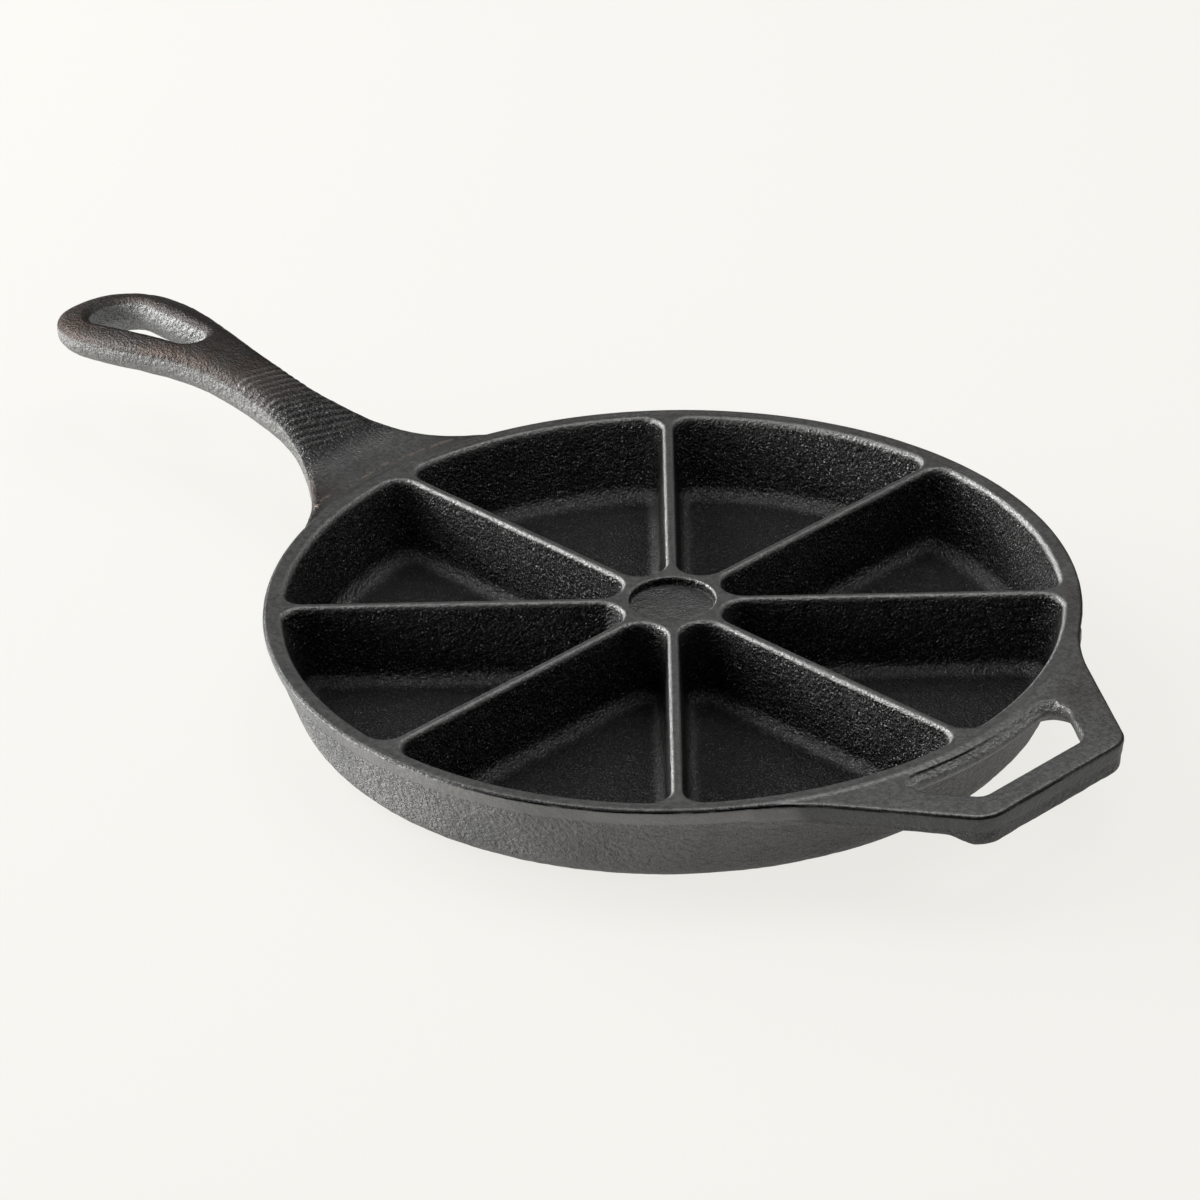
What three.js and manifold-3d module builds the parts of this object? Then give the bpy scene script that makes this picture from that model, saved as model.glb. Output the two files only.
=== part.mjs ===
// Cast iron cornbread skillet: a round pan whose wedge pockets are parted by radial dividers that
// meet in a hub, with a long handle on one side and a looped helper handle on the other.
// Millimetres, +Z up. The origin is the middle of the flat base and the long handle points along -X.
// The pan is poured as one casting, so it is shaped here as one casting: a turned blank, drafted
// pockets and two handles. It is then parted along narrow seams into its named sections.

import * as THREE from 'three';
import { mergeVertices } from 'three/addons/utils/BufferGeometryUtils.js';
import Module from 'manifold-3d';

const wasm = await Module();
wasm.setup();

const DEGREE = Math.PI / 180;

// Pan blank
const RIM_RADIUS = 128.6;
const PAN_HEIGHT = 32;
const FLOOR_THICKNESS = 5.2;
const WALL_DRAFT = 19.5 * DEGREE;
const BASE_EDGE_RADIUS = 13;
const RIM_EDGE_RADIUS = 0.9;

// Wedge pockets and the dividers that they leave between them
const POCKET_COUNT = 8;
const RIM_WIDTH = 6;
const RIM_WALL_DRAFT = 14.5 * DEGREE;
const DIVIDER_WIDTH = 3.4;
const DIVIDER_DRAFT = 3.5 * DEGREE;
const POCKET_CORNER_RADIUS = 7;
const FLOOR_FILLET = 6.5;
const CREST_RADIUS = 0.9;

// Hub in the middle, with a shallow round recess in its top
const HUB_RADIUS = 17.4;
const RECESS_RADIUS = 13.6;
const RECESS_DEPTH = 2;

// Long handle: lengths run outward from the rim, heights from the rim plane
const HANDLE_LENGTH = 157.5;
const HANDLE_STEP = 0.3;
const ROOT_THICKNESS = 9.5;
const ROOT_FLARE_RADIUS = 75;
const NECK_WIDTH = 20.4;
const SWELL_WIDTH = 41.6;
const END_ROUND = 25.5;
const GRIP_THICKNESS = 15.6;
const GRIP_CROWN = 6.5;
const SWELL_CROWN = 5.7;
const ROOT_REACH = 10;
const RISE_REACH = 41;
const RISE_HEIGHT = 1.6;
const ARCH_REACH = 88;
const ARCH_HEIGHT = 8.4;
const TIP_HEIGHT = 2.3;

// Hanging hole in the long handle, a teardrop with its point towards the pan
const HANG_HOLE_LENGTH = 49;
const HANG_HOLE_WIDTH = 18.4;
const HANG_HOLE_FROM_TIP = 14.5;
const HANG_HOLE_POINT_RADIUS = 4.5;
const HANG_HOLE_EASE = 3.4;
const HANG_HOLE_FLARE = 4.5;

// Helper handle: a flat loop with slanted sides and a deeper bar along its outer edge
const HELPER_REACH = 32;
const HELPER_THICKNESS = 7.4;
const HELPER_EDGE_WIDTH = 62;
const HELPER_SIDE_ANGLE = 34 * DEGREE;
const HELPER_CORNER_RADIUS = 11;
const HELPER_FLARE_RADIUS = 68;
const HELPER_EDGE_ROUND = 1.2;
const HELPER_DRAFT = 6 * DEGREE;
const HELPER_BAR_WIDTH = 10;
const HELPER_SIDE_WIDTH = 12.4;
const HELPER_LIP_DEPTH = 2.6;
const HELPER_LIP_RUN = 8;

// Finger hole in the helper handle, wider underneath than above
const FINGER_HOLE_START = 3.3;
const FINGER_HOLE_CORNER = 5;
const FINGER_HOLE_FLARE = 3;

// Seams between the sections of the casting
const SEAM_GAP = 0.3;
const SEAM_LAND = 1.5;
const ROOT_INSET = 2;

// Fineness of the round forms
const RIM_SEGMENTS = 96;
const ARC_STEPS = 6;

// Places that follow from the sizes above
const POCKET_DEPTH = PAN_HEIGHT - FLOOR_THICKNESS;
const HALF_POCKET_ANGLE = Math.PI / POCKET_COUNT;
const HANDLE_TOP = PAN_HEIGHT - HANDLE_STEP;
const HANDLE_TIP = RIM_RADIUS + HANDLE_LENGTH;
const HELPER_EDGE = RIM_RADIUS + HELPER_REACH;
const CLEAR = 2 * (HANDLE_TIP + HELPER_EDGE);

function mix(from, to, share) {
  return from + (to - from) * share;
}

function ease(from, to, value) {
  return THREE.MathUtils.smoothstep(value, from, to);
}

// Points of an arc, both ends included
function arc(centreX, centreY, radius, fromAngle, toAngle, steps) {
  const points = [];
  for (let step = 0; step <= steps; step += 1) {
    const angle = mix(fromAngle, toAngle, step / steps);
    points.push(new THREE.Vector2(centreX + radius * Math.cos(angle), centreY + radius * Math.sin(angle)));
  }
  return points;
}

function mirrored(points) {
  return points.map((point) => new THREE.Vector2(point.x, -point.y)).reverse();
}

// A closed geometry becomes a solid that can be joined and cut
function solid(geometry) {
  const bare = geometry.clone();
  bare.deleteAttribute('normal');
  bare.deleteAttribute('uv');
  const merged = mergeVertices(bare, 1e-4);
  const corners = [];
  const index = merged.index.array;
  for (let i = 0; i < index.length; i += 3) {
    const [a, b, c] = index.slice(i, i + 3);
    if (a !== b && b !== c && c !== a) {
      corners.push(a, b, c);
    }
  }
  return new wasm.Manifold(new wasm.Mesh({
    numProp: 3,
    vertProperties: merged.attributes.position.array,
    triVerts: new Uint32Array(corners),
  }));
}

// Solid through rings of points, closed at each end by a fan to a middle point
function loft(rings, firstMiddle, lastMiddle) {
  const count = rings[0].length;
  const points = [...rings.flat(), firstMiddle, lastMiddle];
  const first = points.length - 2;
  const last = points.length - 1;
  const final = (rings.length - 1) * count;
  const corners = [];
  for (let j = 0; j < count; j += 1) {
    const next = (j + 1) % count;
    for (let base = 0; base < final; base += count) {
      corners.push(base + j, base + next, base + count + j);
      corners.push(base + next, base + count + next, base + count + j);
    }
    corners.push(first, next, j);
    corners.push(last, final + j, final + next);
  }
  const geometry = new THREE.BufferGeometry().setFromPoints(points);
  geometry.setIndex(corners);
  return solid(geometry);
}

function turned(profile) {
  const geometry = new THREE.LatheGeometry(profile, RIM_SEGMENTS);
  geometry.rotateX(Math.PI / 2);
  return solid(geometry);
}

function prism(outline, low, high) {
  const geometry = new THREE.ExtrudeGeometry(new THREE.Shape(outline), {
    depth: high - low,
    bevelEnabled: false,
  });
  geometry.translate(0, 0, low);
  return solid(geometry);
}

function disc(radius) {
  return turned([
    new THREE.Vector2(0, -CLEAR),
    new THREE.Vector2(radius, -CLEAR),
    new THREE.Vector2(radius, CLEAR),
    new THREE.Vector2(0, CLEAR),
  ]);
}

// Sector of all space from the pan's axis outward
function sector(middleAngle, halfAngle, low, high) {
  const corners = [-1, -0.5, 0, 0.5, 1].map((share) => {
    const angle = middleAngle + share * halfAngle;
    return new THREE.Vector2(CLEAR * Math.cos(angle), CLEAR * Math.sin(angle));
  });
  return prism([new THREE.Vector2(0, 0), ...corners], low, high);
}

// Pan blank: flat base, rounded base edge, drafted wall and eased rim
function wallRadius(height) {
  return RIM_RADIUS - (PAN_HEIGHT - height) * Math.tan(WALL_DRAFT);
}

function panBlank() {
  const edgeCentre = wallRadius(BASE_EDGE_RADIUS) - BASE_EDGE_RADIUS / Math.cos(WALL_DRAFT);
  const baseEdge = arc(edgeCentre, BASE_EDGE_RADIUS, BASE_EDGE_RADIUS, -Math.PI / 2, -WALL_DRAFT, ARC_STEPS);
  const rimEdgeHeight = PAN_HEIGHT - RIM_EDGE_RADIUS;
  const rimEdgeCentre = wallRadius(rimEdgeHeight) - RIM_EDGE_RADIUS / Math.cos(WALL_DRAFT);
  const rimEdge = arc(rimEdgeCentre, rimEdgeHeight, RIM_EDGE_RADIUS, -WALL_DRAFT, Math.PI / 2, 3);
  return turned([new THREE.Vector2(0, 0), ...baseEdge, ...rimEdge, new THREE.Vector2(0, PAN_HEIGHT)]);
}

// Plan of a pocket whose middle line lies along +X: a round tip at the hub, two straight sides
// along the dividers and an arc along the rim, with round corners where the sides meet the rim
const POCKET_SINE = Math.sin(HALF_POCKET_ANGLE);
const POCKET_COSINE = Math.cos(HALF_POCKET_ANGLE);
const TIP_CENTRE = (HUB_RADIUS - DIVIDER_WIDTH / 2) / (1 - POCKET_SINE);

function pocketPlan(rimRadius, sideOffset, cornerRadius) {
  const tipRadius = TIP_CENTRE * POCKET_SINE - sideOffset;
  const tipTurn = Math.PI / 2 - HALF_POCKET_ANGLE;
  const tip = arc(TIP_CENTRE, 0, tipRadius, Math.PI + tipTurn, Math.PI - tipTurn, ARC_STEPS);
  const cornerOffset = sideOffset + cornerRadius;
  const along = Math.sqrt((rimRadius - cornerRadius) ** 2 - cornerOffset ** 2);
  const cornerX = along * POCKET_COSINE + cornerOffset * POCKET_SINE;
  const cornerY = along * POCKET_SINE - cornerOffset * POCKET_COSINE;
  const rimAngle = Math.atan2(cornerY, cornerX);
  const sideAngle = Math.PI / 2 + HALF_POCKET_ANGLE;
  const corner = arc(cornerX, cornerY, cornerRadius, sideAngle, rimAngle, ARC_STEPS - 2);
  const rim = arc(0, 0, rimRadius, rimAngle, -rimAngle, ARC_STEPS + 2);
  return [...tip, ...corner, ...rim.slice(1, -1), ...mirrored(corner)].reverse();
}

// The floor fillet stays inside the pocket's round tip
const SIDE_DRAFT_OFFSET = POCKET_DEPTH * Math.tan(DIVIDER_DRAFT);
const TIP_ROOM = TIP_CENTRE * POCKET_SINE - DIVIDER_WIDTH / 2 - SIDE_DRAFT_OFFSET;
const POCKET_FILLET = Math.min(FLOOR_FILLET, TIP_ROOM - 1);
const FLOOR_CORNER_RADIUS = Math.max(POCKET_CORNER_RADIUS - POCKET_FILLET, 1);

// Pocket plan at a depth below the rim, moved in by an offset from its drafted walls
function pocketRing(depth, inset) {
  const rim = RIM_RADIUS - RIM_WIDTH - depth * Math.tan(RIM_WALL_DRAFT) - inset;
  const side = DIVIDER_WIDTH / 2 + depth * Math.tan(DIVIDER_DRAFT) + inset;
  const corner = Math.max(POCKET_CORNER_RADIUS - inset, FLOOR_CORNER_RADIUS);
  const height = PAN_HEIGHT - depth;
  return pocketPlan(rim, side, corner).map((point) => new THREE.Vector3(point.x, point.y, height));
}

function pocket() {
  const rings = [];
  for (let step = 0; step <= ARC_STEPS; step += 1) {
    const angle = (step / ARC_STEPS) * (Math.PI / 2);
    const inset = POCKET_FILLET * (1 - Math.sin(angle));
    const depth = POCKET_DEPTH - POCKET_FILLET * (1 - Math.cos(angle));
    rings.push(pocketRing(depth, inset));
  }
  const crestSteps = 2;
  for (let step = 0; step <= crestSteps; step += 1) {
    const angle = (step / crestSteps) * (Math.PI / 2);
    const inset = -CREST_RADIUS * (1 - Math.cos(angle));
    rings.push(pocketRing(CREST_RADIUS * (1 - Math.sin(angle)), inset));
  }
  const mouth = rings.at(-1).map((point) => new THREE.Vector3(point.x, point.y, CLEAR));
  rings.push(mouth);
  const floorMiddle = new THREE.Vector3(TIP_CENTRE, 0, rings[0][0].z);
  const mouthMiddle = new THREE.Vector3(TIP_CENTRE, 0, CLEAR);
  return loft(rings, floorMiddle, mouthMiddle);
}

function pan() {
  const cavity = pocket();
  let body = panBlank();
  for (let number = 0; number < POCKET_COUNT; number += 1) {
    const turn = (number + 0.5) * (360 / POCKET_COUNT);
    body = body.subtract(cavity.rotate([0, 0, turn]));
  }
  const recess = turned([
    new THREE.Vector2(0, PAN_HEIGHT - RECESS_DEPTH),
    new THREE.Vector2(RECESS_RADIUS - RECESS_DEPTH / 2, PAN_HEIGHT - RECESS_DEPTH),
    new THREE.Vector2(RECESS_RADIUS, PAN_HEIGHT - RECESS_DEPTH / 2),
    new THREE.Vector2(RECESS_RADIUS, CLEAR),
    new THREE.Vector2(0, CLEAR),
  ]);
  return body.subtract(recess);
}

// Long handle: its plan leaves the rim on one wide arc, narrows to the neck, swells and ends round
const FLARE_CENTRE_Y = NECK_WIDTH / 2 + ROOT_FLARE_RADIUS;
const NECK_AT = Math.sqrt((RIM_RADIUS + ROOT_FLARE_RADIUS) ** 2 - FLARE_CENTRE_Y ** 2);
const FLARE_SHARE = RIM_RADIUS / (RIM_RADIUS + ROOT_FLARE_RADIUS);
const FLARE_START = NECK_AT * FLARE_SHARE;
const FLARE_ANGLE = Math.atan2(FLARE_CENTRE_Y, NECK_AT);
const SWELL_AT = HANDLE_TIP - END_ROUND;

function handleHalfWidth(reach) {
  if (reach < NECK_AT) {
    const along = NECK_AT - Math.max(reach, FLARE_START);
    return FLARE_CENTRE_Y - Math.sqrt(ROOT_FLARE_RADIUS ** 2 - along ** 2);
  }
  const swell = Math.min((reach - NECK_AT) / (SWELL_AT - NECK_AT), 1);
  return mix(NECK_WIDTH, SWELL_WIDTH, Math.sin(swell * Math.PI / 2) ** 2.9) / 2;
}

// Middle line of the handle seen from the side, from inside the rim to the tip
const HANDLE_LINE = new THREE.CatmullRomCurve3([
  new THREE.Vector3(FLARE_START - ROOT_REACH, 0, HANDLE_TOP - ROOT_THICKNESS / 2),
  new THREE.Vector3(RIM_RADIUS + ROOT_REACH, 0, HANDLE_TOP - ROOT_THICKNESS / 2),
  new THREE.Vector3(RIM_RADIUS + RISE_REACH, 0, PAN_HEIGHT + RISE_HEIGHT),
  new THREE.Vector3(RIM_RADIUS + ARCH_REACH, 0, PAN_HEIGHT + ARCH_HEIGHT),
  new THREE.Vector3(HANDLE_TIP, 0, PAN_HEIGHT + TIP_HEIGHT),
]);

function handleLineHeight(reach) {
  let low = 0;
  let high = 1;
  for (let halving = 0; halving < 24; halving += 1) {
    const middle = (low + high) / 2;
    if (HANDLE_LINE.getPoint(middle).x < reach) {
      low = middle;
    } else {
      high = middle;
    }
  }
  return HANDLE_LINE.getPoint(low).z;
}

// Section across the handle: flat and square at the root, a crowned oval along the grip
function handleSection(reach, scale) {
  const grip = ease(RIM_RADIUS + ROOT_REACH, NECK_AT, reach);
  const swell = ease(NECK_AT, SWELL_AT, reach);
  const halfWidth = handleHalfWidth(reach) * scale;
  const thickness = mix(ROOT_THICKNESS, GRIP_THICKNESS, grip) * Math.sqrt(scale);
  const crown = mix(mix(ROOT_THICKNESS / 2, GRIP_CROWN, grip), SWELL_CROWN, swell) * Math.sqrt(scale);
  const middle = handleLineHeight(reach) + thickness / 2 - crown;
  const points = [];
  const count = 28;
  for (let step = 0; step < count; step += 1) {
    const angle = (step / count) * 2 * Math.PI;
    const above = step < count / 2;
    const power = above ? mix(0.3, 0.65, grip) : mix(0.85, 0.95, grip);
    const across = Math.sign(Math.cos(angle)) * Math.abs(Math.cos(angle)) ** power;
    const up = Math.sign(Math.sin(angle)) * Math.abs(Math.sin(angle)) ** power;
    const height = middle + up * (above ? crown : thickness - crown);
    points.push(new THREE.Vector3(-reach, -halfWidth * across, height));
  }
  return points;
}

function handleBar() {
  const rings = [];
  const start = FLARE_START - ROOT_INSET * 2;
  const barSteps = 24;
  for (let step = 0; step < barSteps; step += 1) {
    rings.push(handleSection(mix(start, SWELL_AT, step / barSteps), 1));
  }
  const endSteps = 8;
  for (let step = 0; step < endSteps; step += 1) {
    const angle = (step / endSteps) * (Math.PI / 2);
    rings.push(handleSection(SWELL_AT + END_ROUND * Math.sin(angle), Math.cos(angle)));
  }
  const startMiddle = new THREE.Vector3(-start, 0, handleLineHeight(start));
  const tipMiddle = new THREE.Vector3(-HANDLE_TIP, 0, handleLineHeight(HANDLE_TIP));
  return loft(rings, startMiddle, tipMiddle);
}

// Teardrop hole, narrowest half way through the handle, eased open above and flared below
function hangHolePlan(grow) {
  const wide = HANG_HOLE_WIDTH / 2 + grow;
  const narrow = HANG_HOLE_POINT_RADIUS + grow;
  const wideAt = -(HANDLE_TIP - HANG_HOLE_FROM_TIP - HANG_HOLE_WIDTH / 2);
  const narrowAt = -(HANDLE_TIP - HANG_HOLE_FROM_TIP - HANG_HOLE_LENGTH + HANG_HOLE_POINT_RADIUS);
  const lean = Math.asin((wide - narrow) / (narrowAt - wideAt));
  const turn = Math.PI / 2 - lean;
  const wideEnd = arc(wideAt, 0, wide, turn, 2 * Math.PI - turn, ARC_STEPS * 2);
  const narrowEnd = arc(narrowAt, 0, narrow, -turn, turn, ARC_STEPS);
  return [...wideEnd, ...narrowEnd];
}

function hangHole() {
  const rings = [-1.3, -1, -0.7, 0, 0.7, 1, 1.3].map((share) => {
    const rise = share * GRIP_THICKNESS / 2;
    const grow = share > 0 ? HANG_HOLE_EASE * share ** 3 : -HANG_HOLE_FLARE * share;
    return hangHolePlan(grow).map((point) => {
      return new THREE.Vector3(point.x, point.y, handleLineHeight(-point.x) + rise);
    });
  });
  const reach = HANDLE_TIP - HANG_HOLE_FROM_TIP - HANG_HOLE_LENGTH / 2;
  const half = 1.3 * GRIP_THICKNESS / 2;
  const low = new THREE.Vector3(-reach, 0, handleLineHeight(reach) - half);
  const high = new THREE.Vector3(-reach, 0, handleLineHeight(reach) + half);
  return loft(rings, low, high);
}

// Helper handle: half of its plan runs from the rim round the flare, down the slanted side and
// round the outer corner, and the other half mirrors it
const SIDE_ALONG = new THREE.Vector2(Math.cos(HELPER_SIDE_ANGLE), -Math.sin(HELPER_SIDE_ANGLE));
const SIDE_OUT = new THREE.Vector2(Math.sin(HELPER_SIDE_ANGLE), Math.cos(HELPER_SIDE_ANGLE));
const SIDE_END = new THREE.Vector2(HELPER_EDGE, HELPER_EDGE_WIDTH / 2);
const SIDE_TURN = Math.PI / 2 - HELPER_SIDE_ANGLE;

// Point beside the slanted side, at a distance from it, whose distance from the pan's axis is given
function besideSide(distance, axisReach) {
  const beside = SIDE_END.clone().addScaledVector(SIDE_OUT, distance);
  const along = beside.dot(SIDE_ALONG);
  const step = Math.sqrt(along ** 2 - beside.lengthSq() + axisReach ** 2) - along;
  return beside.addScaledVector(SIDE_ALONG, step);
}

// Round corner between the slanted side, moved out by a distance, and a straight outer edge
function helperCorner(distance, edge, radius) {
  const side = SIDE_END.clone().addScaledVector(SIDE_OUT, distance);
  const sideEndY = side.y - (edge - side.x) * Math.tan(HELPER_SIDE_ANGLE);
  const centreY = sideEndY - radius * Math.tan(SIDE_TURN / 2);
  return arc(edge - radius, centreY, radius, SIDE_TURN, 0, ARC_STEPS - 2);
}

const HELPER_FLARE_CENTRE = besideSide(HELPER_FLARE_RADIUS, RIM_RADIUS + HELPER_FLARE_RADIUS);
const HELPER_FLARE_ANGLE = HELPER_FLARE_CENTRE.angle();

function helperRing(height, inset) {
  const centre = HELPER_FLARE_CENTRE;
  const radius = HELPER_FLARE_RADIUS + inset;
  const flare = arc(centre.x, centre.y, radius, Math.PI + HELPER_FLARE_ANGLE, Math.PI + SIDE_TURN, ARC_STEPS);
  const inner = flare[0].clone().setLength(RIM_RADIUS - 3 * ROOT_INSET);
  const corner = helperCorner(-inset, HELPER_EDGE - inset, HELPER_CORNER_RADIUS - inset);
  const half = [inner, ...flare, ...corner];
  const plan = [...half, ...mirrored(half)].reverse();
  return plan.map((point) => new THREE.Vector3(point.x, point.y, height));
}

// The finger hole follows the rim on its inner side and the loop's outline on the others
function fingerHoleRing(height, grow) {
  const startRadius = RIM_RADIUS + FINGER_HOLE_START - Math.min(grow, FINGER_HOLE_START / 2);
  const radius = FINGER_HOLE_CORNER + grow;
  const side = grow - HELPER_SIDE_WIDTH;
  const centre = besideSide(side - radius, startRadius + radius);
  const inner = arc(centre.x, centre.y, radius, Math.PI + centre.angle(), SIDE_TURN, ARC_STEPS);
  const outer = helperCorner(side, HELPER_EDGE - HELPER_BAR_WIDTH + grow, radius);
  const rim = arc(0, 0, startRadius, -centre.angle(), centre.angle(), ARC_STEPS * 2);
  const half = [...inner, ...outer];
  const plan = [...rim.slice(1, -1), ...half, ...mirrored(half)].reverse();
  return plan.map((point) => new THREE.Vector3(point.x, point.y, height));
}

const HELPER_BOTTOM = HANDLE_TOP - HELPER_THICKNESS;
const LIP_BOTTOM = HELPER_BOTTOM - HELPER_LIP_DEPTH;

function between(ring) {
  return new THREE.Vector3(HELPER_EDGE - HELPER_BAR_WIDTH - FINGER_HOLE_CORNER, 0, ring[0].z);
}

function helperPlate(low, high) {
  const underEdge = low + HELPER_EDGE_ROUND;
  const topEdge = high - HELPER_EDGE_ROUND;
  const drawn = (topEdge - underEdge) * Math.tan(HELPER_DRAFT);
  const rings = [
    helperRing(low, drawn + HELPER_EDGE_ROUND),
    helperRing(underEdge, drawn),
    helperRing(topEdge, 0),
    helperRing(high, HELPER_EDGE_ROUND),
  ];
  return loft(rings, between(rings[0]), between(rings.at(-1)));
}

function fingerHole() {
  const waist = HANDLE_TOP - HELPER_THICKNESS / 2;
  const rings = [
    fingerHoleRing(LIP_BOTTOM - FINGER_HOLE_FLARE, FINGER_HOLE_FLARE),
    fingerHoleRing(HELPER_BOTTOM, FINGER_HOLE_FLARE),
    fingerHoleRing(waist, 0),
    fingerHoleRing(HANDLE_TOP - HELPER_EDGE_ROUND, 0),
    fingerHoleRing(HANDLE_TOP, HELPER_EDGE_ROUND),
    fingerHoleRing(HANDLE_TOP + HELPER_EDGE_ROUND, HELPER_EDGE_ROUND),
  ];
  return loft(rings, between(rings[0]), between(rings.at(-1)));
}

// The outer bar and its corners hang lower than the rest of the loop and run out along the sides
function helperLip() {
  const start = HELPER_EDGE - HELPER_BAR_WIDTH + HELPER_LIP_DEPTH;
  const room = new THREE.Shape([
    new THREE.Vector2(start - HELPER_LIP_RUN / 2, HANDLE_TOP),
    new THREE.Vector2(start - HELPER_LIP_RUN / 2, HELPER_BOTTOM),
    new THREE.Vector2(start + HELPER_LIP_RUN / 2, LIP_BOTTOM - 1),
    new THREE.Vector2(HELPER_EDGE + 1, LIP_BOTTOM - 1),
    new THREE.Vector2(HELPER_EDGE + 1, HANDLE_TOP),
  ]);
  const across = 2 * RIM_RADIUS;
  const geometry = new THREE.ExtrudeGeometry(room, { depth: across, bevelEnabled: false });
  geometry.rotateX(Math.PI / 2);
  geometry.translate(0, across / 2, 0);
  return helperPlate(LIP_BOTTOM, HANDLE_TOP).intersect(solid(geometry));
}

function helperLoop() {
  return helperPlate(HELPER_BOTTOM, HANDLE_TOP).add(helperLip()).subtract(fingerHole());
}

// Room that a handle's root takes out of the wall's outer face: a sector of the rim, as deep as
// the root, outside a cone that runs parallel to the wall
function rootRoom(middleAngle, flareAngle, depth, gap) {
  const halfAngle = flareAngle + (SEAM_LAND + gap) / RIM_RADIUS;
  const low = PAN_HEIGHT - depth - SEAM_LAND - gap;
  const coneLow = low - PAN_HEIGHT;
  const coneHigh = 2 * PAN_HEIGHT;
  const inset = ROOT_INSET + gap;
  const cone = turned([
    new THREE.Vector2(0, coneLow),
    new THREE.Vector2(wallRadius(coneLow) - inset, coneLow),
    new THREE.Vector2(wallRadius(coneHigh) - inset, coneHigh),
    new THREE.Vector2(0, coneHigh),
  ]);
  return sector(middleAngle, halfAngle, low, coneHigh).subtract(cone);
}

const GRIP_ROOT_DEPTH = HANDLE_STEP + ROOT_THICKNESS;
const HELPER_ROOT_DEPTH = HANDLE_STEP + HELPER_THICKNESS;

// Seams of the pan: those beside the dividers and the wall run over the flat of a pocket floor, past
// the floor fillets, and the hub's runs down from its top face
const FILLET_END = POCKET_FILLET + SEAM_LAND;
const WALL_SEAM = RIM_RADIUS - RIM_WIDTH - POCKET_DEPTH * Math.tan(RIM_WALL_DRAFT) - FILLET_END;
const DIVIDER_SEAM = DIVIDER_WIDTH / 2 + SIDE_DRAFT_OFFSET + FILLET_END;
const HUB_SEAM = HUB_RADIUS - SEAM_LAND;

function dividerStrip(number, gap) {
  const geometry = new THREE.BoxGeometry(CLEAR, 2 * (DIVIDER_SEAM + gap), CLEAR);
  geometry.translate(CLEAR / 2, 0, 0);
  geometry.rotateZ(number * 2 * HALF_POCKET_ANGLE);
  return solid(geometry);
}

function sections() {
  const body = pan();
  const named = {};
  const grip = handleBar().subtract(hangHole()).add(body);
  named.long_handle = grip.intersect(rootRoom(Math.PI, FLARE_ANGLE, GRIP_ROOT_DEPTH, 0));
  const helper = helperLoop().add(body);
  const helperRoom = rootRoom(0, HELPER_FLARE_ANGLE, HELPER_ROOT_DEPTH + HELPER_LIP_DEPTH, 0);
  named.helper_handle = helper.intersect(helperRoom);
  const parted = body
    .subtract(rootRoom(Math.PI, FLARE_ANGLE, GRIP_ROOT_DEPTH, SEAM_GAP))
    .subtract(rootRoom(0, HELPER_FLARE_ANGLE, HELPER_ROOT_DEPTH + HELPER_LIP_DEPTH, SEAM_GAP));
  named.centre_hub = parted.intersect(disc(HUB_SEAM));
  const field = parted.subtract(disc(HUB_SEAM + SEAM_GAP));
  const share = HALF_POCKET_ANGLE - SEAM_GAP / 2 / HUB_SEAM;
  for (let number = 0; number < POCKET_COUNT; number += 1) {
    named[`divider_${number + 1}`] = field.intersect(dividerStrip(number, 0))
      .intersect(sector(2 * number * HALF_POCKET_ANGLE, share, -CLEAR, CLEAR));
    const middleAngle = (2 * number + 1) * HALF_POCKET_ANGLE;
    const wedge = field.intersect(sector(middleAngle, HALF_POCKET_ANGLE, -CLEAR, CLEAR))
      .subtract(dividerStrip(number, SEAM_GAP))
      .subtract(dividerStrip(number + 1, SEAM_GAP));
    named[`floor_panel_${number + 1}`] = wedge.intersect(disc(WALL_SEAM - SEAM_GAP));
    named[`wall_panel_${number + 1}`] = wedge.subtract(disc(WALL_SEAM));
  }
  return named;
}

// Bare seasoned iron: ground faces are a little smoother than the cast ones
function seasonedIron(roughness) {
  return new THREE.MeshStandardMaterial({ color: 0x2c2c2d, roughness, metalness: 0.75 });
}

const CAST_ROUGHNESS = 0.62;
const GROUND_ROUGHNESS = 0.48;
const GROUND_SECTIONS = ['long_handle', 'helper_handle', 'centre_hub'];

function section(name, part) {
  const { vertProperties, triVerts } = part.getMesh();
  const geometry = new THREE.BufferGeometry();
  geometry.setAttribute('position', new THREE.BufferAttribute(vertProperties, 3));
  geometry.setIndex(new THREE.BufferAttribute(triVerts, 1));
  geometry.computeVertexNormals();
  const roughness = GROUND_SECTIONS.includes(name) ? GROUND_ROUGHNESS : CAST_ROUGHNESS;
  const mesh = new THREE.Mesh(geometry, seasonedIron(roughness));
  mesh.name = name;
  return mesh;
}

const skillet = new THREE.Group();
skillet.name = 'cornbread_skillet';
for (const [name, part] of Object.entries(sections())) {
  skillet.add(section(name, part));
}

export default skillet;
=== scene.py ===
"""Looks of the cast iron cornbread skillet.

The casting is worked out as one distance field in millimetres, so that the wall, dividers, hub and
handles run into each other with soft fillets. It is then meshed and parted along the CAD's seams,
one piece for each CAD node, and given a procedural seasoned iron finish.
"""

import math

import bpy
import numpy as np
import openvdb
from mathutils import Matrix, Vector


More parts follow.
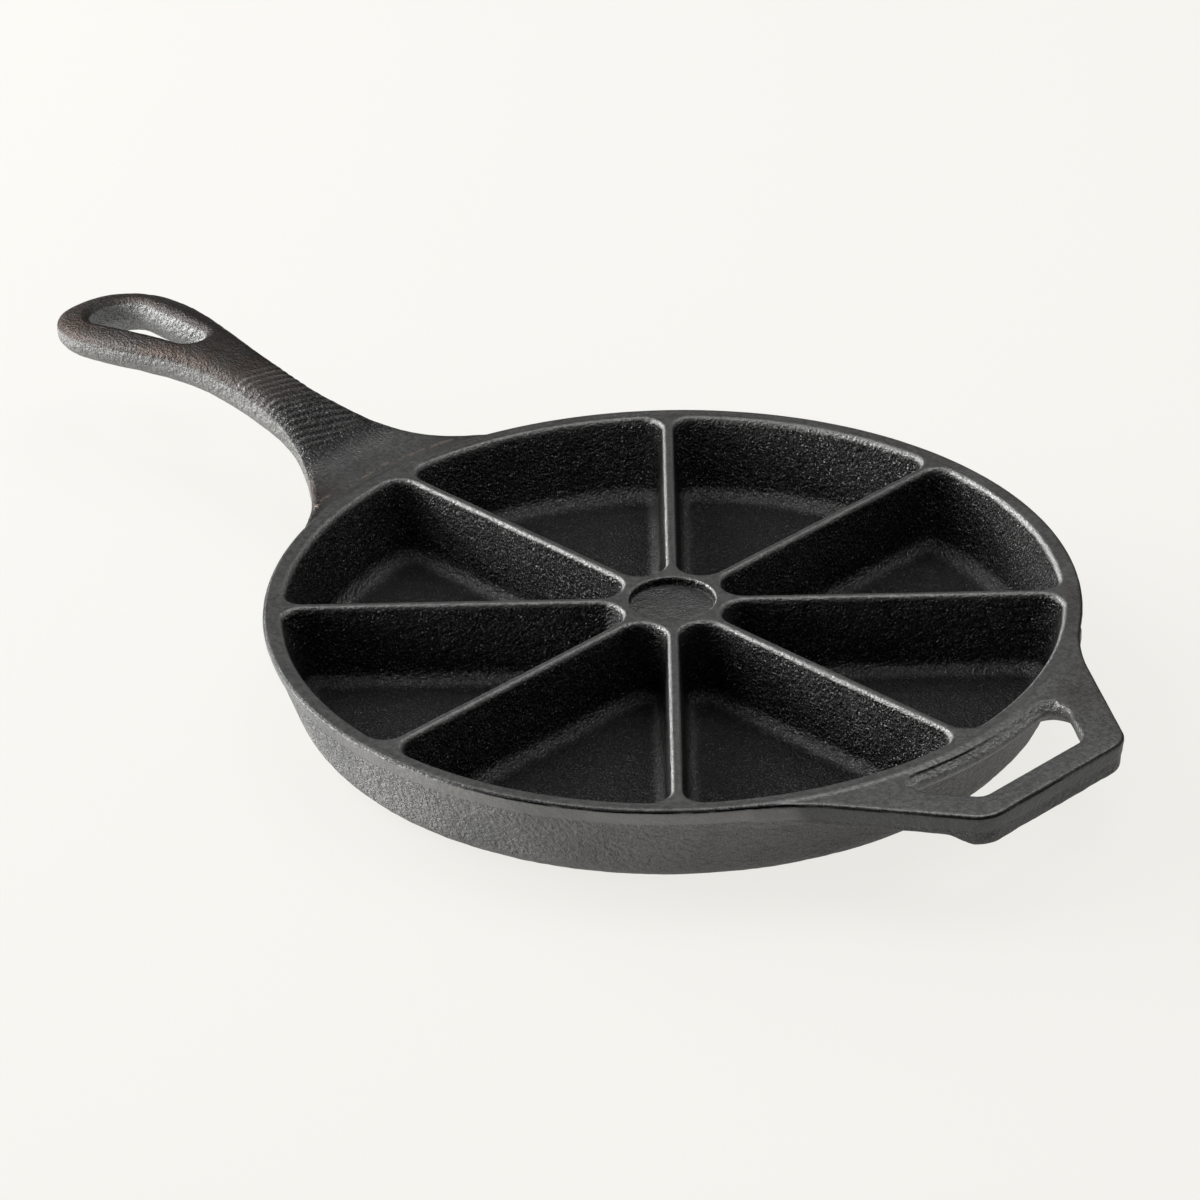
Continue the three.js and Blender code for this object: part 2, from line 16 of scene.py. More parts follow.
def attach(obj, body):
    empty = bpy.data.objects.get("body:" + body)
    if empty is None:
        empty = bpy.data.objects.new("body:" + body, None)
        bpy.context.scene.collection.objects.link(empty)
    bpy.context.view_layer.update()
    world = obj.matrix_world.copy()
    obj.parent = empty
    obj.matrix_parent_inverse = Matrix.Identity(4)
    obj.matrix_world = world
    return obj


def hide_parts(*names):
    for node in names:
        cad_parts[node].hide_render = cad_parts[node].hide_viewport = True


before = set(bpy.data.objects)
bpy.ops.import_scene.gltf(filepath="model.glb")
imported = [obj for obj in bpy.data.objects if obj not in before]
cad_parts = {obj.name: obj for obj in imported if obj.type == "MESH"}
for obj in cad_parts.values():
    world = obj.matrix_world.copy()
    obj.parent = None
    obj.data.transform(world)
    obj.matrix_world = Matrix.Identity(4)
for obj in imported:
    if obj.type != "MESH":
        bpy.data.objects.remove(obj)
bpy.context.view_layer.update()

# Pan in millimetres, as in the CAD part but for a rounder crest and rim and a deeper recess
RIM = 128.6
HEIGHT = 32.0
FLOOR = 5.2
WALL_DRAFT = math.radians(19.5)
BASE_ROUND = 13.0
RIM_ROUND = 1.5
POCKETS = 8
HALF = math.pi / POCKETS
RIM_WIDTH = 6.0
RIM_DRAFT = math.radians(14.5)
HALF_DIVIDER = 1.7
DIVIDER_DRAFT = math.radians(3.5)
CORNER = 7.0
FLOOR_FILLET = 6.5
CREST = 1.4
HUB = 17.4
RECESS = 13.6
RECESS_DEPTH = 2.7
RECESS_FILLET = 0.4
RECESS_EDGE = 0.3

# Long handle, with its teardrop hanging hole
HANDLE_TOP = 31.7
HANDLE_TIP = 286.1
ROOT_THICK = 9.5
ROOT_REACH = 10.0
ROOT_BITE = 5.0
FLARE = 75.0
NECK = 20.4
SWELL = 41.6
SWELL_POWER = 2.9
END_ROUND = 25.5
GRIP_THICK = 15.6
GRIP_CROWN = 6.5
SWELL_CROWN = 5.7
RISE_REACH, RISE_HEIGHT = 41, 1.6
ARCH_REACH, ARCH_HEIGHT = 88, 8.4
TIP_HEIGHT = 2.3
HOLE_LENGTH = 49.0
HOLE_WIDE = 9.2
HOLE_FROM_TIP = 14.5
HOLE_POINT = 4.5
HOLE_EASE = 3.4
HOLE_FLARE = 4.5
HOLE_EDGE = 1.6

# Helper handle, with its finger hole and a lip a little deeper than the CAD part's
HELPER_EDGE = 160.6
HELPER_HALF_EDGE = 31.0
HELPER_THICK = 7.4
LIP_DEPTH = 2.6
LIP_EXTRA = 0.4
LIP_AT = 2.6
HELPER_SIDE = math.radians(34)
HELPER_FLARE = 68.0
HELPER_CORNER = 11.0
HELPER_ROUND = 1.2
HELPER_DRAFT = math.radians(6)
HELPER_BAR = 10.0
HELPER_SIDE_WIDTH = 12.4
FINGER_START = 3.3
FINGER_CORNER = 5.0
FINGER_FLARE = 3.0
FINGER_EDGE = 1.0
LEDGE_WIDTH = 2.0

# Seams between the pieces
SEAM_LAND = 1.5
ROOT_INSET = 2.0

# Relief: height, size and seed of each layer of cast unevenness, rim band and grinding marks
CAST_RELIEF = ((0.10, 7.0, 1), (0.09, 2.6, 2), (0.05, 1.5, 3))
RIM_BAND_RISE = 0.22
MARK_DEPTH = 0.26
MARK_PITCH = 2.9
MARKS_FROM, MARKS_TO = 151, 196

# Field: distance between samples, how far it reaches from the surface, and the boxes of its parts
VOXEL = 0.6
REACH = 9.0
WHOLE_BOX = (-290, -133, -4), (165, 133, 53)
PAN_BOX = (-131, -131, -3), (131, 131, 36)
LONG_HANDLE_BOX = (-289, -60, 10), (-106, 60, 52)
HELPER_BOX = (96, -84, 14), (164, 84, 36)
SLAB = 64

# Cutters reach from below the pan to above it, and well outside it
CUT_LOW, CUT_HIGH, CUT_FAR = -20.0, 90.0, 400
STRIP_START, STRIP_END = 10.0, 200

# Values that follow from the sizes
SINE, COSINE = math.sin(HALF), math.cos(HALF)
TIP = (HUB - HALF_DIVIDER) / (1 - SINE)
DEPTH = HEIGHT - FLOOR
FILLET = min(FLOOR_FILLET, TIP * SINE - HALF_DIVIDER - DEPTH * math.tan(DIVIDER_DRAFT) - 1)
WALL_SEAM = RIM - RIM_WIDTH - DEPTH * math.tan(RIM_DRAFT) - FILLET - SEAM_LAND
DIVIDER_SEAM = HALF_DIVIDER + DEPTH * math.tan(DIVIDER_DRAFT) + FILLET + SEAM_LAND
HUB_SEAM = HUB - SEAM_LAND
FLARE_Y = NECK / 2 + FLARE
NECK_AT = math.sqrt((RIM + FLARE) ** 2 - FLARE_Y**2)
FLARE_START = NECK_AT * RIM / (RIM + FLARE)
FLARE_ANGLE = math.atan2(FLARE_Y, NECK_AT)
SWELL_AT = HANDLE_TIP - END_ROUND
HELPER_BOTTOM = HANDLE_TOP - HELPER_THICK
LIP_BOTTOM = HELPER_BOTTOM - LIP_DEPTH


def mix(a, b, t):
    return a + (b - a) * t


def ease(low, high, value):
    t = np.clip((value - low) / (high - low), 0, 1)
    return t * t * (3 - 2 * t)


def wall_radius(z):
    return RIM - (HEIGHT - z) * math.tan(WALL_DRAFT)


def round_max(a, b, radius):
    """The greater of two distances, so the space inside both, with a round edge."""
    inner = np.minimum(np.maximum(a, b), -radius)
    return inner + np.hypot(np.maximum(a + radius, 0), np.maximum(b + radius, 0))


def soft_min(a, b, reach):
    """The lesser of two distances, so both shapes joined, with a fillet between them."""
    near = np.maximum(reach - np.abs(a - b), 0) / reach
    return np.minimum(a, b) - near * near * reach / 4


def lattice(low, high):
    """First index and the coordinates of the sample points in a box."""
    first = np.floor(np.array(low) / VOXEL).astype(int)
    end = np.ceil(np.array(high) / VOXEL).astype(int) + 1
    axes = [(np.arange(a, b) * VOXEL).astype(np.float32) for a, b in zip(first, end)]
    return first, axes[0][:, None, None], axes[1][None, :, None], axes[2][None, None, :]


def pan_distance(x, y, z):
    """Turned blank with its drafted wedge pockets and the hub's recess."""
    r = np.hypot(x, y)
    # Blank: flat base, round base edge, drafted wall, eased rim
    wall = (r - wall_radius(z)) * math.cos(WALL_DRAFT)
    centre = wall_radius(BASE_ROUND) - BASE_ROUND / math.cos(WALL_DRAFT)
    across, up = r - centre, z - BASE_ROUND
    on_round = (up < -across * math.tan(WALL_DRAFT)) & (across > 0)
    blank = np.where(on_round, np.hypot(across, up) - BASE_ROUND, np.maximum(wall, -z))
    blank = round_max(blank, z - HEIGHT, RIM_ROUND)
    # Pocket: two drafted sides, a round tip at the hub and the rim's inner wall
    turn = np.mod(np.arctan2(y, x), 2 * HALF) - HALF
    px, py = r * np.cos(turn), np.abs(r * np.sin(turn))
    depth = HEIGHT - z
    half_width = HALF_DIVIDER + depth * math.tan(DIVIDER_DRAFT)
    tx = px - TIP
    at_tip = tx * COSINE + py * SINE < 0
    plan = np.where(at_tip, np.hypot(tx, py) - TIP * SINE, py * COSINE - px * SINE)
    side = (plan + half_width) * math.cos(DIVIDER_DRAFT)
    rim = (r - (RIM - RIM_WIDTH) + depth * math.tan(RIM_DRAFT)) * math.cos(RIM_DRAFT)
    pocket = round_max(round_max(side, rim, CORNER), FLOOR - z, FILLET)
    body = round_max(blank, -pocket, CREST)
    recess = round_max(r - RECESS, HEIGHT - RECESS_DEPTH - z, RECESS_FILLET)
    return round_max(body, -recess, RECESS_EDGE)


def handle_line():
    """Middle line of the long handle from the side, a centripetal curve through its heights."""
    root = HANDLE_TOP - ROOT_THICK / 2
    p = np.array([(FLARE_START - ROOT_REACH, root), (RIM + ROOT_REACH, root),
                  (RIM + RISE_REACH, HEIGHT + RISE_HEIGHT), (RIM + ARCH_REACH, HEIGHT + ARCH_HEIGHT),
                  (HANDLE_TIP, HEIGHT + TIP_HEIGHT)])
    q = np.vstack([2 * p[0] - p[1], p, 2 * p[-1] - p[-2]])
    t = np.linspace(0, 1, 80)[:, None]
    out = []
    for i in range(len(p) - 1):
        p0, p1, p2, p3 = q[i:i + 4]
        d0, d1, d2 = (math.sqrt(math.dist(a, b)) for a, b in ((p0, p1), (p1, p2), (p2, p3)))
        t1 = ((p1 - p0) / d0 - (p2 - p0) / (d0 + d1) + (p2 - p1) / d1) * d1
        t2 = ((p2 - p1) / d1 - (p3 - p1) / (d1 + d2) + (p3 - p2) / d2) * d1
        square = 3 * p2 - 3 * p1 - 2 * t1 - t2
        cube = 2 * p1 - 2 * p2 + t1 + t2
        out.append(p1 + t1 * t + square * t**2 + cube * t**3)
    return np.vstack(out)


LINE = handle_line()


def line_height(reach):
    return np.interp(reach, LINE[:, 0], LINE[:, 1])


def handle_half_width(u):
    along = NECK_AT - np.clip(u, FLARE_START, NECK_AT)
    flare = FLARE_Y - np.sqrt(FLARE**2 - along**2)
    swell = np.clip((u - NECK_AT) / (SWELL_AT - NECK_AT), 0, 1)
    grip = mix(NECK, SWELL, np.sin(swell * math.pi / 2) ** SWELL_POWER) / 2
    return np.where(u < NECK_AT, flare, grip)


def handle_surface():
    """Rings of points along the long handle: flat and square at the root, a crowned oval grip."""
    end_turn = math.pi / 2 * 0.985
    turn = np.linspace(0, end_turn, 60)
    bar = np.linspace(FLARE_START - 4, SWELL_AT, 240, endpoint=False)
    u = np.r_[bar, SWELL_AT + END_ROUND * np.sin(turn)]
    scale = np.r_[np.ones(len(bar)), np.cos(turn)]
    grip = ease(RIM + ROOT_REACH, NECK_AT, u)
    swell = ease(NECK_AT, SWELL_AT, u)
    half = handle_half_width(u) * scale
    thick = mix(ROOT_THICK, GRIP_THICK, grip) * np.sqrt(scale)
    crown = mix(mix(ROOT_THICK / 2, GRIP_CROWN, grip), SWELL_CROWN, swell) * np.sqrt(scale)
    middle = line_height(u) + thick / 2 - crown
    angle = np.linspace(0, 2 * math.pi, 192, endpoint=False)
    above = angle < math.pi
    # A power near 0 makes the section square, and 1 makes it an ellipse
    power = np.where(above, mix(0.3, 0.65, grip)[:, None], mix(0.85, 0.95, grip)[:, None])
    across = np.sign(np.cos(angle)) * np.abs(np.cos(angle)) ** power
    up = np.sign(np.sin(angle)) * np.abs(np.sin(angle)) ** power
    z = middle[:, None] + up * np.where(above, crown[:, None], (thick - crown)[:, None])
    rings = np.stack([np.broadcast_to(-u[:, None], z.shape), -half[:, None] * across, z], 2)
    return rings.astype(np.float32)


def level_set(rings, first, shape):
    """Distance field of the closed surface through rings of points."""
    count, size = rings.shape[:2]
    points = np.vstack([rings.reshape(-1, 3), rings[0].mean(0), rings[-1].mean(0)])
    j = np.arange(size)
    n = (j + 1) % size
    base = (np.arange(count - 1) * size)[:, None]
    quads = np.stack([base + j, base + n, base + size + n, base + size + j], 2).reshape(-1, 4)
    last = (count - 1) * size
    ends = np.vstack([np.stack([np.full(size, count * size), n, j], 1),
                      np.stack([np.full(size, count * size + 1), last + j, last + n], 1)])
    grid = openvdb.FloatGrid.createLevelSetFromPolygons(
        points.astype(np.float32), triangles=ends.astype(np.uint32), quads=quads.astype(np.uint32),
        transform=openvdb.createLinearTransform(VOXEL), halfWidth=REACH / VOXEL)
    field = np.empty(shape, np.float32)
    grid.copyToArray(field, ijk=tuple(int(i) for i in first))
    return field


def long_handle_distance(first, x, y, z):
    shape = (x.size, y.size, z.size)
    bar = level_set(handle_surface(), first, shape)
    # Teardrop hole, narrowest half way through, eased open above and flared below
    wide_at = -(HANDLE_TIP - HOLE_FROM_TIP - HOLE_WIDE)
    length = HOLE_LENGTH - HOLE_WIDE - HOLE_POINT
    px, py = x - wide_at, np.abs(y)
    lean = (HOLE_WIDE - HOLE_POINT) / length
    slope = math.sqrt(1 - lean * lean)
    along = px * slope - py * lean
    plan = np.where(along < 0, np.hypot(px, py) - HOLE_WIDE,
                    np.where(along > slope * length, np.hypot(px - length, py) - HOLE_POINT,
                             px * lean + py * slope - HOLE_WIDE))
    rise = np.clip((z - line_height(-x).astype(np.float32)) / (GRIP_THICK / 2), -1.4, 1.4)
    hole = plan - np.maximum(HOLE_EASE * rise**3, -HOLE_FLARE * rise)
    bar = round_max(bar, -hole, HOLE_EDGE)
    return np.maximum(bar, RIM - ROOT_BITE - np.hypot(x, y))


def arc(cx, cy, radius, start, end, steps):
    angle = np.linspace(start, end, steps + 1)
    return np.stack([cx + radius * np.cos(angle), cy + radius * np.sin(angle)], 1)


def mirrored(points):
    return points[::-1] * np.array([1, -1])


SIDE_TURN = math.pi / 2 - HELPER_SIDE
SIDE_ALONG = np.array([math.cos(HELPER_SIDE), -math.sin(HELPER_SIDE)])
SIDE_OUT = np.array([math.sin(HELPER_SIDE), math.cos(HELPER_SIDE)])
SIDE_END = np.array([HELPER_EDGE, HELPER_HALF_EDGE])


def beside_side(distance, reach):
    """Point at a distance from the helper's slanted side and at a reach from the pan's axis."""
    beside = SIDE_END + SIDE_OUT * distance
    along = beside @ SIDE_ALONG
    return beside + SIDE_ALONG * (math.sqrt(along**2 - beside @ beside + reach**2) - along)


def helper_corner(distance, edge, radius):
    side = SIDE_END + SIDE_OUT * distance
    end_y = side[1] - (edge - side[0]) * math.tan(HELPER_SIDE)
    return arc(edge - radius, end_y - radius * math.tan(SIDE_TURN / 2), radius, SIDE_TURN, 0, 12)


FLARE_CENTRE = beside_side(HELPER_FLARE, RIM + HELPER_FLARE)
HELPER_FLARE_ANGLE = math.atan2(FLARE_CENTRE[1], FLARE_CENTRE[0])


def helper_outline():
    start, end = math.pi + HELPER_FLARE_ANGLE, math.pi + SIDE_TURN
    flare = arc(*FLARE_CENTRE, HELPER_FLARE, start, end, 32)
    inner = flare[0] * (RIM - RIM_WIDTH) / np.linalg.norm(flare[0])
    half = np.vstack([inner, flare, helper_corner(0, HELPER_EDGE, HELPER_CORNER)])
    return np.vstack([half, mirrored(half)])


def finger_outline():
    start = RIM + FINGER_START
    centre = beside_side(-HELPER_SIDE_WIDTH - FINGER_CORNER, start + FINGER_CORNER)
    angle = math.atan2(centre[1], centre[0])
    inner = arc(*centre, FINGER_CORNER, math.pi + angle, SIDE_TURN, 16)
    outer = helper_corner(-HELPER_SIDE_WIDTH, HELPER_EDGE - HELPER_BAR, FINGER_CORNER)
    half = np.vstack([inner, outer])
    return np.vstack([arc(0, 0, start, -angle, angle, 24)[1:-1], half, mirrored(half)])


def polygon_distance(points, x, y):
    """Signed distance to a closed outline, below zero inside it."""
    best = np.full(np.broadcast(x, y).shape, 1e9, np.float32)
    inside = np.zeros(best.shape, bool)
    for (ax, ay), (bx, by) in zip(points, np.roll(points, 1, axis=0)):
        ex, ey, wx, wy = bx - ax, by - ay, x - ax, y - ay
        t = np.clip((wx * ex + wy * ey) / max(ex * ex + ey * ey, 1e-9), 0, 1)
        best = np.minimum(best, (wx - ex * t) ** 2 + (wy - ey * t) ** 2)
        crosses = (ay > y) != (by > y)
        if abs(ey) > 1e-9:
            inside ^= crosses & (x < ax + (y - ay) * ex / ey)
    return np.where(inside, -1, 1) * np.sqrt(best)


def helper_distance(x, y, z):
    outline = polygon_distance(helper_outline(), x, y)
    outline = outline + (HANDLE_TOP - z) * math.tan(HELPER_DRAFT)
    lip = HELPER_EDGE - HELPER_BAR + LIP_AT
    bottom = mix(HELPER_BOTTOM, LIP_BOTTOM - LIP_EXTRA, ease(lip - 5, lip + 3, x))
    plate = round_max(outline, z - HANDLE_TOP, HELPER_ROUND)
    plate = round_max(plate, bottom - z, HELPER_ROUND)
    waist = HANDLE_TOP - HELPER_THICK / 2
    grow = FINGER_FLARE * np.clip((waist - z) / (waist - HELPER_BOTTOM), 0, 1)
    # A narrow ledge runs along the pan's side of the finger hole
    start = RIM + FINGER_START
    ledge = (LEDGE_WIDTH * ease(HANDLE_TOP - 2.0, HANDLE_TOP - 0.7, z)
             * ease(start + 4, start + 2, np.hypot(x, y)))
    hole = polygon_distance(finger_outline(), x, y) - grow - ledge
    plate = round_max(plate, -hole, FINGER_EDGE)
    return np.maximum(plate, RIM - ROOT_BITE - np.hypot(x, y))


def beside_finger_hole(x, y):
    """Distance outward from the finger hole's outline, worked out only near the helper handle."""
    out = np.full(len(x), 99.0, np.float32)
    near = x > RIM - 40
    if near.any():
        out[near] = polygon_distance(finger_outline(), x[near], y[near])
    return out


def between(table, low, high, share):
    """Values between the eight entries of a table round each point."""
    out = 0
    for i, wx in ((low[:, 0], 1 - share[:, 0]), (high[:, 0], share[:, 0])):
        for j, wy in ((low[:, 1], 1 - share[:, 1]), (high[:, 1], share[:, 1])):
            for k, wz in ((low[:, 2], 1 - share[:, 2]), (high[:, 2], share[:, 2])):
                out = out + table[i, j, k] * (wx * wy * wz)
    return out


def noise(points, size, seed):
    """Smooth random values between -1 and 1 that change over the given size in millimetres."""
    table = np.random.default_rng(seed).uniform(-1, 1, (64, 64, 64)).astype(np.float32)
    q = points / size
    cell = np.floor(q).astype(np.int32)
    f = (q - cell).astype(np.float32)
    return between(table, cell & 63, (cell + 1) & 63, f * f * (3 - 2 * f))


def sample(field, first, points):
    """Field values at points in millimetres, between the samples."""
    q = np.clip(points / VOXEL - first, 0, np.array(field.shape) - 1.001)
    cell = np.floor(q).astype(np.int32)
    return between(field, cell, cell + 1, (q - cell).astype(np.float32))


def gradient(field, first, points):
    steps = np.eye(3, dtype=np.float32) * VOXEL
    g = np.stack([sample(field, first, points + s) - sample(field, first, points - s)
                  for s in steps], 1)
    return g / np.maximum(np.linalg.norm(g, axis=1, keepdims=True), 1e-6)


def part_of(field, first, box):
    """First index, coordinates and field values of the samples in a box."""
    start, x, y, z = lattice(*box)
    shape = (x.size, y.size, z.size)
    return start, x, y, z, field[tuple(slice(s, s + n) for s, n in zip(start - first, shape))]


def root_fillet(z, growth):
    """Fillet where a handle leaves the wall: small at the rim's top, larger below it."""
    return 0.5 + growth * ease(1, 5, HEIGHT - z)


def casting():
    """The whole casting as one distance field, and the index of its first sample."""
    first, x, y, z = lattice(*WHOLE_BOX)
    field = np.full((x.size, y.size, z.size), REACH, np.float32)
    _, x, y, z, pan = part_of(field, first, PAN_BOX)
    for i in range(0, x.size, SLAB):
        pan[i:i + SLAB] = np.minimum(pan_distance(x[i:i + SLAB], y, z), REACH)
    start, x, y, z, near = part_of(field, first, LONG_HANDLE_BOX)
    near[:] = soft_min(near, long_handle_distance(start, x, y, z), root_fillet(z, 3.5))
    _, x, y, z, near = part_of(field, first, HELPER_BOX)
    near[:] = soft_min(near, helper_distance(x, y, z), root_fillet(z, 2.5))
    return field, first


def grinding(p):
    """Depth from -1 to 1 of the grinding marks where the top of the neck was cleaned up."""
    reach = -p[:, 0]
    width = ease(MARKS_FROM, MARKS_FROM + 5, reach) * (1 - ease(MARKS_TO - 6, MARKS_TO, reach))
    crown = ease(3.2, 5.2, p[:, 2] - line_height(reach) - 0.12 * p[:, 1])
    wander = 0.9 * noise(p * np.array([1, 0.35, 0.35], np.float32), 6.0, 4)
    marks = np.cos(2 * math.pi * (reach + 0.22 * p[:, 1] + wander) / MARK_PITCH)
    return width * crown * marks * (0.6 + 0.4 * noise(p, 8.0, 5))


def in_rim_band(z):
    """Share of the smoother band that runs round the outside under the rim's edge."""
    return ease(HEIGHT - 5.9, HEIGHT - 5.1, z)


def add_relief(field, first):
    """Unevenness of sand-cast faces, the band under the rim and the marks across the handle."""
    near = np.nonzero(np.abs(field) < 3 * VOXEL)
    p = ((np.stack(near, 1) + first) * VOXEL).astype(np.float32)
    z = p[:, 2]
    on_grip = ease(RIM + 12, RIM + 30, -p[:, 0])
    ground = ease(HEIGHT - 1.8, HEIGHT - 0.8, z) * (1 - on_grip)
    cast = (1 - 0.85 * ground) * ease(0.3, 2.0, z)
    depth = cast * sum(height * noise(p, size, seed) for height, size, seed in CAST_RELIEF)
    # The band stands a little proud of the cast wall
    at_rim = np.hypot(p[:, 0], p[:, 1]) + (HEIGHT - z) * math.tan(WALL_DRAFT)
    outside = ease(RIM - 3.4, RIM - 2.4, at_rim)
    depth = depth - RIM_BAND_RISE * outside * in_rim_band(z) * (1 - on_grip)
    depth = depth + MARK_DEPTH * grinding(p)
    field[near] += depth.astype(np.float32)


def mesh_from(name, points, faces):
    """Mesh from points in millimetres and an array of faces with one number of corners."""
    mesh = bpy.data.meshes.new(name)
    count, corners = faces.shape
    mesh.vertices.add(len(points))
    mesh.vertices.foreach_set("co", (points / 1000).astype(np.float32).ravel())
    mesh.loops.add(count * corners)
    mesh.loops.foreach_set("vertex_index", faces.astype(np.int32).ravel())
    mesh.polygons.add(count)
    starts = np.arange(0, count * corners, corners, dtype=np.int32)
    mesh.polygons.foreach_set("loop_start", starts)
    mesh.update(calc_edges=True)
    return mesh


def sweep(profile, start, end, steps):
    """Closed shape from a profile of (radius, height) turned about Z between two angles."""
    profile = np.array(profile, float)
    size = len(profile)
    full = abs(end - start) > 2 * math.pi - 1e-6
    angle = np.linspace(start, end, steps + 1)
    if full:
        angle = angle[:-1]
    radius, height = profile.T
    points = np.concatenate([np.stack([radius * math.cos(a), radius * math.sin(a), height], 1)
                             for a in angle])
    rows = len(angle)
    j = np.arange(size)
    n = (j + 1) % size
    faces = []
    for i in range(rows if full else rows - 1):
        a, b = i * size, (i + 1) % rows * size
        faces.append(np.stack([a + j, b + j, b + n, a + n], 1))
    faces = np.vstack(faces)
    if not full:
        last = (rows - 1) * size
        faces = np.vstack([faces, [[0, 1, 2, 3]], [[last + 3, last + 2, last + 1, last]]])
    return points, faces


def joined(*parts):
    points, faces, offset = [], [], 0
    for p, f in parts:
        points.append(p)
        faces.append(f + offset)
        offset += len(p)
    return np.vstack(points), np.vstack(faces)


def root_room(middle, flare_angle, depth):
    """Room of a handle's root: a sector of the rim outside a cone parallel to the wall."""
    half = flare_angle + SEAM_LAND / RIM
    low, high = HEIGHT - depth - SEAM_LAND, 2 * HEIGHT
    profile = [(wall_radius(low) - ROOT_INSET, low), (CUT_FAR, low),
               (CUT_FAR, high), (wall_radius(high) - ROOT_INSET, high)]
    return sweep(profile, middle - half, middle + half, 48)


def cylinder(radius):
    profile = [(0.0, CUT_LOW), (radius, CUT_LOW), (radius, CUT_HIGH), (0.0, CUT_HIGH)]
    return sweep(profile, 0, 2 * math.pi, 240)


def strips(numbers):
    """Rooms of some dividers: strips along the dividers that narrow to their share of the hub."""
    tangent = math.tan(HALF)
    half = [(STRIP_START, STRIP_START * tangent), (DIVIDER_SEAM / tangent, DIVIDER_SEAM),
            (STRIP_END, DIVIDER_SEAM)]
    plan = np.array([(x, -y) for x, y in half] + half[::-1])
    size = len(plan)
    j = np.arange(size)
    n = (j + 1) % size
    out = []
    for k in numbers:
        c, s = math.cos(2 * k * HALF), math.sin(2 * k * HALF)
        turned = plan @ np.array([[c, s], [-s, c]])
        points = np.vstack([np.c_[turned, np.full(size, z)] for z in (CUT_LOW, CUT_HIGH)])
        sides = np.stack([j, n, size + n, size + j], 1)
        low = np.array([(0, 5, 4, 1), (1, 4, 3, 2)])
        high = np.array([(0, 1, 4, 5), (1, 2, 3, 4)]) + size
        out.append((points, np.vstack([sides, low, high])))
    return joined(*out)


def cut(mesh, cutter, operation):
    """The mesh inside a cutter (INTERSECT) or outside it (DIFFERENCE)."""
    body = bpy.data.objects.new("body", mesh)
    tool = bpy.data.objects.new("tool", mesh_from("tool", *cutter))
    for o in (body, tool):
        bpy.context.scene.collection.objects.link(o)
    boolean = body.modifiers.new("cut", "BOOLEAN")
    boolean.solver = "MANIFOLD"
    boolean.operation = operation
    boolean.object = tool
    depsgraph = bpy.context.evaluated_depsgraph_get()
    result = bpy.data.meshes.new_from_object(body.evaluated_get(depsgraph))
    bpy.data.objects.remove(body)
    bpy.data.objects.remove(tool)
    return result


def arrays(mesh):
    """Points in millimetres and the triangles of a mesh, without pairs that lie back to back."""
    points = np.empty(len(mesh.vertices) * 3, np.float32)
    mesh.vertices.foreach_get("co", points)
    mesh.calc_loop_triangles()
    triangles = np.empty(len(mesh.loop_triangles) * 3, np.int32)
    mesh.loop_triangles.foreach_get("vertices", triangles)
    triangles = triangles.reshape(-1, 3)
    _, same, count = np.unique(np.sort(triangles, 1), axis=0, return_inverse=True,
                               return_counts=True)
    return points.reshape(-1, 3) * 1000, triangles[count[same.ravel()] == 1]


def compact(points, triangles):
    """Some triangles, with only the points that they use."""
    used, index = np.unique(triangles, return_inverse=True)
    return points[used], index.reshape(-1, 3)


def share_out(mesh, name, numbers, offset):
    """Splits a mesh of bodies round the axis into its bodies, by the nearest of their angles."""
    points, triangles = arrays(mesh)
    middle = points[triangles].mean(1)
    angles = (np.array(numbers) + offset) * 2 * HALF
    turn = np.arctan2(middle[:, 1], middle[:, 0])[:, None] - angles
    nearest = np.cos(turn).argmax(1)
    return {f"{name}_{k + 1}": compact(points, triangles[nearest == i])
            for i, k in enumerate(numbers)}


def pieces(field, first):
    """Meshes the casting and parts it along the CAD's seams: points and triangles for each node."""
    grid = openvdb.FloatGrid(REACH)
    grid.transform = openvdb.createLinearTransform(VOXEL)
    grid.copyFromArray(field, ijk=tuple(int(i) for i in first))
    whole = mesh_from("casting", *grid.convertToQuads(0.0))
    roots = joined(root_room(math.pi, FLARE_ANGLE, HEIGHT - HANDLE_TOP + ROOT_THICK),
                   root_room(0, HELPER_FLARE_ANGLE, HEIGHT - LIP_BOTTOM))
    points, triangles = arrays(cut(whole, roots, "INTERSECT"))
    on_grip = points[triangles].mean(1)[:, 0] < 0
    out = {"long_handle": compact(points, triangles[on_grip]),
           "helper_handle": compact(points, triangles[~on_grip])}
    pan = cut(whole, roots, "DIFFERENCE")
    out["centre_hub"] = arrays(cut(pan, cylinder(HUB_SEAM), "INTERSECT"))
    rest = cut(pan, cylinder(HUB_SEAM), "DIFFERENCE")
    for numbers in (range(0, POCKETS, 2), range(1, POCKETS, 2)):
        out.update(share_out(cut(rest, strips(numbers), "INTERSECT"), "divider", numbers, 0))
        rest = cut(rest, strips(numbers), "DIFFERENCE")
    for name, operation in (("floor_panel", "INTERSECT"), ("wall_panel", "DIFFERENCE")):
        panels = cut(rest, cylinder(WALL_SEAM), operation)
        out.update(share_out(panels, name, range(POCKETS), 0.5))
    return out


# Finish: bare seasoned iron, rough where it was cast and satin where it was ground


